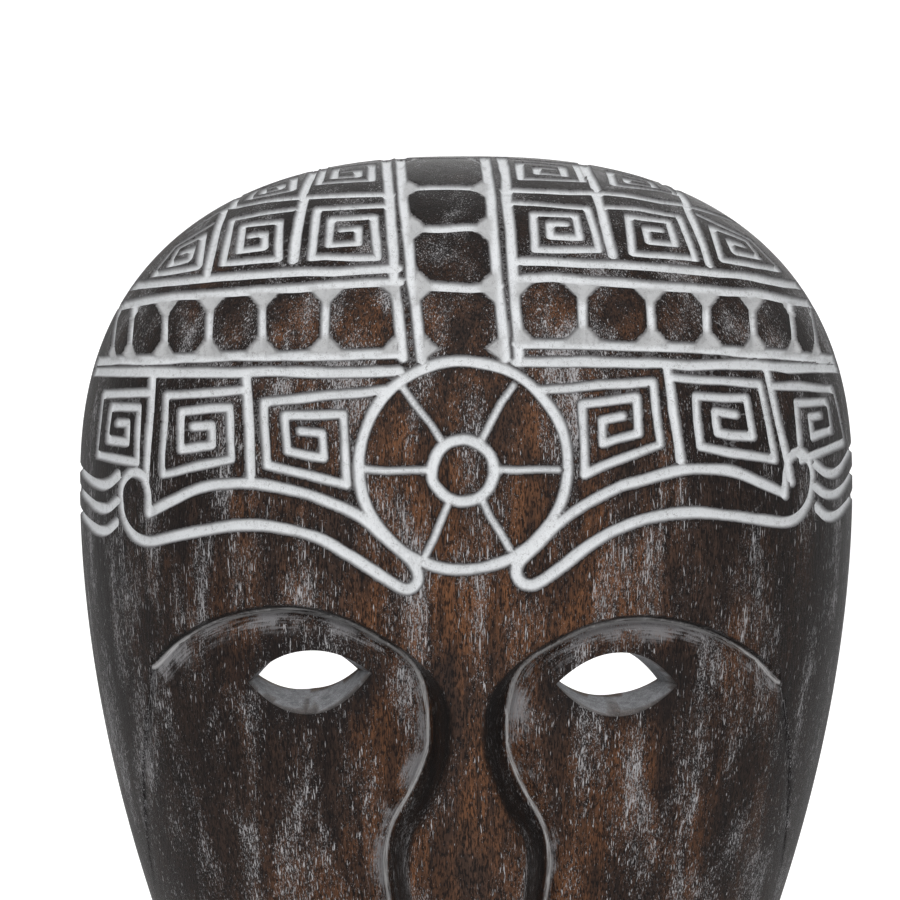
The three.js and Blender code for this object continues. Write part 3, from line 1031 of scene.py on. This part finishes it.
# painted shade round the eyes and in the crease of the cheeks, joined with the grime and painted shade
# beside the cuts
dark = grime_and_shade.most(wood.attribute("eye_edge") * 0.72).most(wood.attribute("crease") * 0.9)
colour = wood.mix(dark * 0.9, stain, srgb(23, 20, 20))
# painted shade: the stop cut's steep wall, in shadow, is painted nearly black
colour = wood.mix(stop_cut * 0.92, colour, srgb(14, 12, 12))
zones = (wood.noise((0.085, 0.085, 0.022), 4, 0.6, 0.5) - 0.5) * 1.9 + (clouds - 0.5) * 0.8
grains = wood.noise((3.0, 3.0, 1.4), 2, 0.7)
dashes = wood.noise((2.1, 2.1, 0.24), 2, 0.55)
specks = (grains + zones * 0.34 - 0.605).ramp(0, 0.11)
strokes = (dashes + zones * 0.24 - 0.625).ramp(0, 0.07)
wax = (specks * 0.66).most(strokes * 0.95) * face
wax = wax * (1 - stop_cut * 0.6) * (1 - outer * 0.25)
film = zones.ramp(0.0, 0.6) * (grains.ramp(0.38, 0.56) * 0.7 + 0.3) * 0.5 * (1 - stop_cut * 0.8)
film = film * (1 - outer * 0.5)
colour = wood.mix(film * (1 - cheek * 0.4) * face, colour, srgb(86, 85, 87))
colour = wood.mix(wax * 0.85, colour, srgb(172, 171, 173))

# %% [markdown]
# The lip of the socket is pale, partly worn wash and partly painted highlight where it turns up to the
# light, with strokes of the knife that follow it, so its pattern runs in the distance from the lip and the
# place along it. The walls of the eyes are grey all over.

# %% Worn lip with painted highlight, and eye walls
follow = wood.add("ShaderNodeCombineXYZ", X=off_lip * 1.5, Y=along_lip * 0.07, Z=0.0)
knife = Value(wood, wood.add("ShaderNodeTexNoise", Vector=follow.outputs[0], Scale=1.0, Detail=4.0,
                             Roughness=0.65).outputs[0])
on_plate = off_lip.ramp(-0.5, 0.4) * face
# a pale line along the lip's edge: partly worn wash, partly painted highlight
worn_edge_and_highlight = on_plate * (1 - off_lip.ramp(0.5, 1.5)) * knife.ramp(0.34, 0.56)
rubbing = wood.noise((0.07, 0.07, 0.06), 4, 0.6)
patchy = (knife * 0.8 + grains * 0.45 + (rubbing - 0.5) * 1.5 - off_lip * 0.035).ramp(0.45, 0.72)
worn_band_and_highlight = on_plate * (1 - off_lip.ramp(3, 9)) * patchy
# the lip's pale band and edge line: partly worn wash, partly painted highlight
colour = wood.mix(worn_band_and_highlight * 0.8, colour, srgb(132, 131, 133))
colour = wood.mix(worn_edge_and_highlight * 0.9, colour, srgb(180, 179, 179))
uneven = (streaks * 0.5 + grains * 0.5).ramp(0.35, 0.65)
wall_colour = wood.mix(uneven, srgb(96, 97, 100), srgb(146, 147, 150))
colour = wood.mix(eye_wall, colour, wall_colour)

# %% [markdown]
# The wash in the cuts: grey at their edges and white in the middle, painted shade and painted highlight as
# on a rounded groove, with grit and rubbed places. The wash in the chips is greyer, painted shade of their
# facets.
# The back was stained once and left bare.

# %% Wash in the cuts, and the bare back
soft_edge = wood.noise((1.3, 1.3, 1.3), 3, 0.6)
wash = (0.1 - (carve + (soft_edge - 0.5) * 0.9)).ramp(0, 0.24) * face
# painted shade at a cut's edges and painted highlight in its middle, as on a rounded groove
full = (0 - carve).ramp(0.05, 1.1)
dirt = wood.noise((0.6, 0.6, 0.5), 4, 0.7)
wash_colour = wood.mix(full, srgb(96, 95, 96), srgb(212, 214, 216))
grit = (wood.noise((3.2, 3.2, 2.6), 2, 0.7) - 0.5) * 1.2 + dirt
wash_colour = wood.mix(grit.ramp(0.52, 0.85) * 0.6, wash_colour, srgb(112, 109, 108))
# painted shade: the wash in a chip is greyer, as its facets turn away from the light
wash_colour = wood.mix(wood.attribute("chip") * 0.5, wash_colour, srgb(128, 126, 125))
colour = wood.mix(wash, colour, wash_colour)
bare = wood.mix(streaks.ramp(0.25, 0.75), srgb(62, 49, 40), srgb(112, 92, 75))
bare = wood.mix(fibres.ramp(0.6, 0.35) * 0.6, bare, srgb(38, 30, 25))
bare = wood.mix(clouds.ramp(0.45, 0.75) * 0.5, bare, srgb(48, 38, 32))
colour = wood.mix((1 - face) * (1 - eye_wall), colour, bare)

# %% [markdown]
# The surface. The grain and the knife marks are too shallow to model, so a bump of under a millimetre lays
# them on. Wash and wax are duller than stained wood.

# %% Surface of the wood
relief = (fibres - 0.5) * 0.15 + (pores - 0.5) * 0.2 + (streaks - 0.5) * 0.3
relief = relief - strokes * 0.12 + specks * 0.05
relief = relief + wash * (dirt - 0.5) * 0.3 + (knife - 0.5) * 0.5 * on_plate * (1 - off_lip.ramp(3, 10))
bump = wood.add("ShaderNodeBump", Strength=0.9, Distance=mm, Height=relief)
roughness = 0.44 + streaks * 0.2 + wash * 0.3 + wax * 0.2 + (1 - face) * 0.2
wood.finish(Base_Color=colour, Roughness=roughness, Normal=bump.outputs[0])
wood.bsdf.inputs["Specular IOR Level"].default_value = 0.1

# %% [markdown]
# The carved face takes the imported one's place and rides on the mask. The edges of the cuts stay sharp.

# %% Putting the face in place
block.data.shade_smooth()
block.data.set_sharp_from_angle(angle=math.radians(42))
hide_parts("mask_face")
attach(block, MASK)

# %% [markdown]
# ## Hangers
# Zinc-plated steel from a hardware drawer: a folded strap, a wire ring and two screws on each side. They
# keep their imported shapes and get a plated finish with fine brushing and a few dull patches.


# %% Zinc plate
def zinc(name, tint, brushing):
    material = bpy.data.materials.new(name)
    plate = Shader(material)
    cloudy = plate.noise((0.12, 0.12, 0.12), 4)
    lines = plate.noise(brushing, 3)
    colour = plate.mix(cloudy.ramp(0.35, 0.7), srgb(*tint), srgb(*[int(v * 0.78) for v in tint]))
    bump = plate.add("ShaderNodeBump", Strength=0.25, Distance=0.1 * mm, Height=lines)
    plate.finish(Base_Color=colour, Roughness=0.28 + cloudy * 0.2, Normal=bump.outputs[0])
    plate.bsdf.inputs["Metallic"].default_value = 1.0
    return material


strap_zinc = zinc("zinc_plate", (186, 188, 186), (6, 6, 0.4))
ring_zinc = zinc("ring_wire", (192, 190, 184), (0.4, 6, 6))
screw_zinc = zinc("screw_steel", (178, 172, 156), (3, 3, 3))
for name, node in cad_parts.items():
    for start, material in (("hanger_strap", strap_zinc), ("d_ring", ring_zinc), ("screw", screw_zinc)):
        if name.startswith(start):
            node.data.materials.clear()
            node.data.materials.append(material)

# %% [markdown]
# ## Studio
# A pale wall far behind, a pale floor far below, and large soft lights, so no shadow falls behind the mask.


# %% Backdrop and lights
def plane(name, corners):
    mesh = bpy.data.meshes.new(name)
    mesh.from_pydata(corners, [], [(0, 1, 2, 3)])
    made = add_object(name, mesh)
    pale = bpy.data.materials.new(name)
    pale.use_nodes = True
    paper = {"Base Color": (0.96, 0.96, 0.96, 1), "Emission Color": (1, 1, 1, 1),
             "Emission Strength": 0.35, "Roughness": 0.9}
    for socket, value in paper.items():
        pale.node_tree.nodes["Principled BSDF"].inputs[socket].default_value = value
    made.data.materials.append(pale)


REACH, WALL_Y, FLOOR_Z = 9.0, 3.4, -2.2
foot = [(-REACH, WALL_Y, FLOOR_Z), (REACH, WALL_Y, FLOOR_Z)]
plane("backdrop", [*foot, (REACH, WALL_Y, REACH), (-REACH, WALL_Y, REACH)])
plane("floor", [(-REACH, -REACH, FLOOR_Z), (REACH, -REACH, FLOOR_Z), *foot[::-1]])


LIT = Vector((0, -0.05, -0.15))


def soft_light(name, place, size, power):
    data = bpy.data.lights.new(name, "AREA")
    data.shape, data.size, data.energy = "SQUARE", size, power
    light = add_object(name, data)
    light.location = place
    light.rotation_euler = (Vector(place) - LIT).to_track_quat("Z", "Y").to_euler()


soft_light("key", (-0.9, -2.1, 1.2), 1.0, 30)
soft_light("fill", (1.1, -2.1, 0.7), 1.2, 18)
soft_light("above", (0.0, -0.6, 2.0), 1.0, 10)
soft_light("behind", (0.3, 1.9, 1.0), 1.6, 16)
world = bpy.data.worlds.new("studio")
world.use_nodes = True
sky = world.node_tree.nodes["Background"].inputs
sky["Color"].default_value = (1, 1, 1, 1)
sky["Strength"].default_value = 0.42
bpy.context.scene.world = world
bpy.context.scene.view_settings.view_transform = "Standard"
